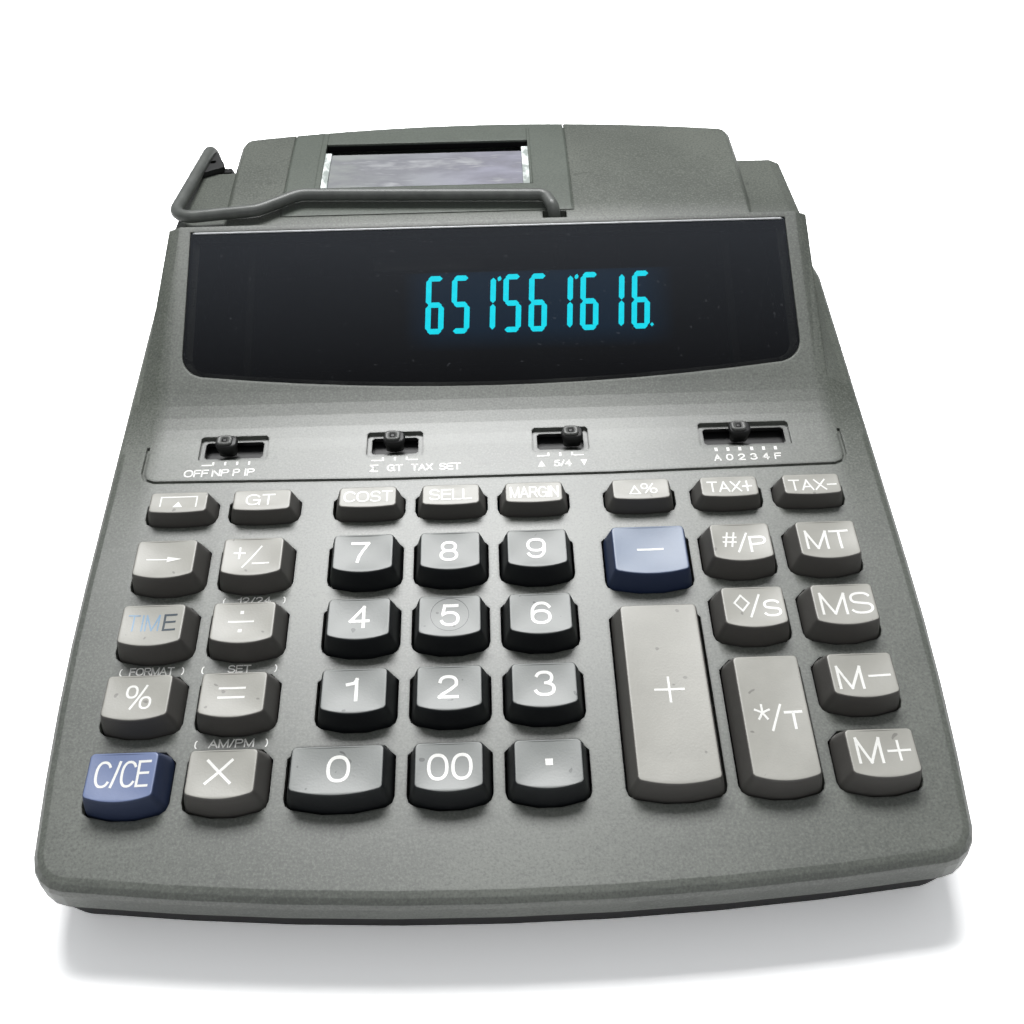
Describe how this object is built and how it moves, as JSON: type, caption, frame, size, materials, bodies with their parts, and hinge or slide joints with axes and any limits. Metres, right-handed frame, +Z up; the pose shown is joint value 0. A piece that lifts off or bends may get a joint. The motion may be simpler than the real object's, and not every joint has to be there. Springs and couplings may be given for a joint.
{
  "type": "printing calculator",
  "caption": "Desktop printing calculator with a grey case, a dark sloping display, rows of sculpted keys, slide switches, a paper printer and a wire paper-roll holder.",
  "frame": {"origin": "middle of the footprint, on the surface that the rubber feet stand on", "axes": "+X to the user's right, +Y from the user's front edge to the rear, +Z up"},
  "size_m": [0.19, 0.25, 0.0651],
  "materials": {
    "grey_case": "matt warm grey, finely moulded grain",
    "black_case": "matt, finely moulded grain",
    "lens_glass": "polished dark smoke",
    "tube_glass": "polished",
    "clear_window": "polished, tinted clear",
    "bail_wire": "semi-gloss dark grey enamel",
    "rubber_mat": "matt",
    "board": "green solder resist",
    "steel": "plain",
    "platen_rubber": "matt, ground",
    "gear_plastic": "natural white",
    "carriage_plastic": "matt",
    "feet_rubber": "matt",
    "screw_steel": "blackened",
    "knob_plastic": "matt, worn",
    "grey_keys": "satin, worn",
    "digit_keys": "satin, worn shiny",
    "blue_keys": "satin, worn"
  },
  "bodies": {
    "case": {"upper_shell": "grey_case", "lower_case": "black_case", "display_lens": "lens_glass", "display_tube": "tube_glass", "key_mat": "rubber_mat", "main_board": "board", "slide_switches": "steel", "power_transformer": "steel", "printer_frame": "steel", "feed_motor": "steel", "rubber_feet": "feet_rubber", "case_screws": "screw_steel", "cord_bushing": "black_case"},
    "cover": {"printer_cover": "grey_case", "cover_window": "clear_window"},
    "bail": {"paper_roll_bail": "bail_wire"},
    "power_switch": {"power_switch_knob": "knob_plastic"},
    "mode_switch": {"mode_switch_knob": "knob_plastic"},
    "rounding_switch": {"rounding_switch_knob": "knob_plastic"},
    "decimal_switch": {"decimal_switch_knob": "knob_plastic"},
    "platen": {"platen_roller": "platen_rubber"},
    "pinion": {"motor_pinion": "gear_plastic"},
    "carriage": {"print_carriage": "carriage_plastic"},
    "key_paper_feed": {"key_paper_feed": "grey_keys"},
    "key_grand_total": {"key_grand_total": "grey_keys"},
    "key_cost": {"key_cost": "grey_keys"},
    "key_sell": {"key_sell": "grey_keys"},
    "key_margin": {"key_margin": "grey_keys"},
    "key_percent_change": {"key_percent_change": "grey_keys"},
    "key_tax_plus": {"key_tax_plus": "grey_keys"},
    "key_tax_minus": {"key_tax_minus": "grey_keys"},
    "key_right_shift": {"key_right_shift": "grey_keys"},
    "key_sign_change": {"key_sign_change": "grey_keys"},
    "key_7": {"key_7": "digit_keys"},
    "key_8": {"key_8": "digit_keys"},
    "key_9": {"key_9": "digit_keys"},
    "key_subtract": {"key_subtract": "blue_keys"},
    "key_item_count": {"key_item_count": "grey_keys"},
    "key_memory_total": {"key_memory_total": "grey_keys"},
    "key_time": {"key_time": "grey_keys"},
    "key_divide": {"key_divide": "grey_keys"},
    "key_4": {"key_4": "digit_keys"},
    "key_5": {"key_5": "digit_keys"},
    "key_6": {"key_6": "digit_keys"},
    "key_add": {"key_add": "grey_keys"},
    "key_subtotal": {"key_subtotal": "grey_keys"},
    "key_memory_subtotal": {"key_memory_subtotal": "grey_keys"},
    "key_percent": {"key_percent": "grey_keys"},
    "key_equals": {"key_equals": "grey_keys"},
    "key_1": {"key_1": "digit_keys"},
    "key_2": {"key_2": "digit_keys"},
    "key_3": {"key_3": "digit_keys"},
    "key_total": {"key_total": "grey_keys"},
    "key_memory_minus": {"key_memory_minus": "grey_keys"},
    "key_clear": {"key_clear": "blue_keys"},
    "key_multiply": {"key_multiply": "grey_keys"},
    "key_0": {"key_0": "digit_keys"},
    "key_00": {"key_00": "digit_keys"},
    "key_point": {"key_point": "digit_keys"},
    "key_memory_plus": {"key_memory_plus": "grey_keys"}
  },
  "joints": [
    {"name": "bail_swing", "type": "hinge", "parent": "case", "child": "bail", "pos_m": [-0.0824, 0.095, 0.048], "axis": [-1, 0, 0], "range_deg": [0, 130]},
    {"name": "cover_slide", "type": "slide", "parent": "case", "child": "cover", "axis": [0, 0.9903, 0.1392], "range_m": [0, 0.012]},
    {"name": "power_switch_slide", "type": "slide", "parent": "case", "child": "power_switch", "axis": [1, 0, 0], "range_m": [-0.00295, 0.0059]},
    {"name": "mode_switch_slide", "type": "slide", "parent": "case", "child": "mode_switch", "axis": [1, 0, 0], "range_m": [-0.00295, 0.00295]},
    {"name": "rounding_switch_slide", "type": "slide", "parent": "case", "child": "rounding_switch", "axis": [1, 0, 0], "range_m": [-0.0059, 0]},
    {"name": "decimal_switch_slide", "type": "slide", "parent": "case", "child": "decimal_switch", "axis": [1, 0, 0], "range_m": [-0.0059, 0.00885]},
    {"name": "platen_turn", "type": "hinge", "parent": "case", "child": "platen", "pos_m": [-0.018, 0.08, 0.047], "axis": [1, 0, 0], "continuous": true},
    {"name": "pinion_turn", "type": "hinge", "parent": "case", "child": "pinion", "pos_m": [0.024, 0.08853, 0.03609], "axis": [1, 0, 0], "continuous": true},
    {"name": "carriage_slide", "type": "slide", "parent": "case", "child": "carriage", "axis": [1, 0, 0], "range_m": [0, 0.046]},
    {"name": "key_paper_feed_press", "type": "slide", "parent": "case", "child": "key_paper_feed", "axis": [0, 0.1305, -0.9914], "range_m": [0, 0.0025], "stiffness_N_per_m": 200},
    {"name": "key_grand_total_press", "type": "slide", "parent": "case", "child": "key_grand_total", "axis": [0, 0.1305, -0.9914], "range_m": [0, 0.0025], "stiffness_N_per_m": 200},
    {"name": "key_cost_press", "type": "slide", "parent": "case", "child": "key_cost", "axis": [0, 0.1305, -0.9914], "range_m": [0, 0.0025], "stiffness_N_per_m": 200},
    {"name": "key_sell_press", "type": "slide", "parent": "case", "child": "key_sell", "axis": [0, 0.1305, -0.9914], "range_m": [0, 0.0025], "stiffness_N_per_m": 200},
    {"name": "key_margin_press", "type": "slide", "parent": "case", "child": "key_margin", "axis": [0, 0.1305, -0.9914], "range_m": [0, 0.0025], "stiffness_N_per_m": 200},
    {"name": "key_percent_change_press", "type": "slide", "parent": "case", "child": "key_percent_change", "axis": [0, 0.1305, -0.9914], "range_m": [0, 0.0025], "stiffness_N_per_m": 200},
    {"name": "key_tax_plus_press", "type": "slide", "parent": "case", "child": "key_tax_plus", "axis": [0, 0.1305, -0.9914], "range_m": [0, 0.0025], "stiffness_N_per_m": 200},
    {"name": "key_tax_minus_press", "type": "slide", "parent": "case", "child": "key_tax_minus", "axis": [0, 0.1305, -0.9914], "range_m": [0, 0.0025], "stiffness_N_per_m": 200},
    {"name": "key_right_shift_press", "type": "slide", "parent": "case", "child": "key_right_shift", "axis": [0, 0.1305, -0.9914], "range_m": [0, 0.0025], "stiffness_N_per_m": 200},
    {"name": "key_sign_change_press", "type": "slide", "parent": "case", "child": "key_sign_change", "axis": [0, 0.1305, -0.9914], "range_m": [0, 0.0025], "stiffness_N_per_m": 200},
    {"name": "key_7_press", "type": "slide", "parent": "case", "child": "key_7", "axis": [0, 0.1305, -0.9914], "range_m": [0, 0.0025], "stiffness_N_per_m": 200},
    {"name": "key_8_press", "type": "slide", "parent": "case", "child": "key_8", "axis": [0, 0.1305, -0.9914], "range_m": [0, 0.0025], "stiffness_N_per_m": 200},
    {"name": "key_9_press", "type": "slide", "parent": "case", "child": "key_9", "axis": [0, 0.1305, -0.9914], "range_m": [0, 0.0025], "stiffness_N_per_m": 200},
    {"name": "key_subtract_press", "type": "slide", "parent": "case", "child": "key_subtract", "axis": [0, 0.1305, -0.9914], "range_m": [0, 0.0025], "stiffness_N_per_m": 200},
    {"name": "key_item_count_press", "type": "slide", "parent": "case", "child": "key_item_count", "axis": [0, 0.1305, -0.9914], "range_m": [0, 0.0025], "stiffness_N_per_m": 200},
    {"name": "key_memory_total_press", "type": "slide", "parent": "case", "child": "key_memory_total", "axis": [0, 0.1305, -0.9914], "range_m": [0, 0.0025], "stiffness_N_per_m": 200},
    {"name": "key_time_press", "type": "slide", "parent": "case", "child": "key_time", "axis": [0, 0.1305, -0.9914], "range_m": [0, 0.0025], "stiffness_N_per_m": 200},
    {"name": "key_divide_press", "type": "slide", "parent": "case", "child": "key_divide", "axis": [0, 0.1305, -0.9914], "range_m": [0, 0.0025], "stiffness_N_per_m": 200},
    {"name": "key_4_press", "type": "slide", "parent": "case", "child": "key_4", "axis": [0, 0.1305, -0.9914], "range_m": [0, 0.0025], "stiffness_N_per_m": 200},
    {"name": "key_5_press", "type": "slide", "parent": "case", "child": "key_5", "axis": [0, 0.1305, -0.9914], "range_m": [0, 0.0025], "stiffness_N_per_m": 200},
    {"name": "key_6_press", "type": "slide", "parent": "case", "child": "key_6", "axis": [0, 0.1305, -0.9914], "range_m": [0, 0.0025], "stiffness_N_per_m": 200},
    {"name": "key_add_press", "type": "slide", "parent": "case", "child": "key_add", "axis": [0, 0.1305, -0.9914], "range_m": [0, 0.0025], "stiffness_N_per_m": 200},
    {"name": "key_subtotal_press", "type": "slide", "parent": "case", "child": "key_subtotal", "axis": [0, 0.1305, -0.9914], "range_m": [0, 0.0025], "stiffness_N_per_m": 200},
    {"name": "key_memory_subtotal_press", "type": "slide", "parent": "case", "child": "key_memory_subtotal", "axis": [0, 0.1305, -0.9914], "range_m": [0, 0.0025], "stiffness_N_per_m": 200},
    {"name": "key_percent_press", "type": "slide", "parent": "case", "child": "key_percent", "axis": [0, 0.1305, -0.9914], "range_m": [0, 0.0025], "stiffness_N_per_m": 200},
    {"name": "key_equals_press", "type": "slide", "parent": "case", "child": "key_equals", "axis": [0, 0.1305, -0.9914], "range_m": [0, 0.0025], "stiffness_N_per_m": 200},
    {"name": "key_1_press", "type": "slide", "parent": "case", "child": "key_1", "axis": [0, 0.1305, -0.9914], "range_m": [0, 0.0025], "stiffness_N_per_m": 200},
    {"name": "key_2_press", "type": "slide", "parent": "case", "child": "key_2", "axis": [0, 0.1305, -0.9914], "range_m": [0, 0.0025], "stiffness_N_per_m": 200},
    {"name": "key_3_press", "type": "slide", "parent": "case", "child": "key_3", "axis": [0, 0.1305, -0.9914], "range_m": [0, 0.0025], "stiffness_N_per_m": 200},
    {"name": "key_total_press", "type": "slide", "parent": "case", "child": "key_total", "axis": [0, 0.1305, -0.9914], "range_m": [0, 0.0025], "stiffness_N_per_m": 200},
    {"name": "key_memory_minus_press", "type": "slide", "parent": "case", "child": "key_memory_minus", "axis": [0, 0.1305, -0.9914], "range_m": [0, 0.0025], "stiffness_N_per_m": 200},
    {"name": "key_clear_press", "type": "slide", "parent": "case", "child": "key_clear", "axis": [0, 0.1305, -0.9914], "range_m": [0, 0.0025], "stiffness_N_per_m": 200},
    {"name": "key_multiply_press", "type": "slide", "parent": "case", "child": "key_multiply", "axis": [0, 0.1305, -0.9914], "range_m": [0, 0.0025], "stiffness_N_per_m": 200},
    {"name": "key_0_press", "type": "slide", "parent": "case", "child": "key_0", "axis": [0, 0.1305, -0.9914], "range_m": [0, 0.0025], "stiffness_N_per_m": 200},
    {"name": "key_00_press", "type": "slide", "parent": "case", "child": "key_00", "axis": [0, 0.1305, -0.9914], "range_m": [0, 0.0025], "stiffness_N_per_m": 200},
    {"name": "key_point_press", "type": "slide", "parent": "case", "child": "key_point", "axis": [0, 0.1305, -0.9914], "range_m": [0, 0.0025], "stiffness_N_per_m": 200},
    {"name": "key_memory_plus_press", "type": "slide", "parent": "case", "child": "key_memory_plus", "axis": [0, 0.1305, -0.9914], "range_m": [0, 0.0025], "stiffness_N_per_m": 200}
  ],
  "couplings": [
    {"joint": "pinion_turn", "follows": "platen_turn", "ratio": -2}
  ]
}
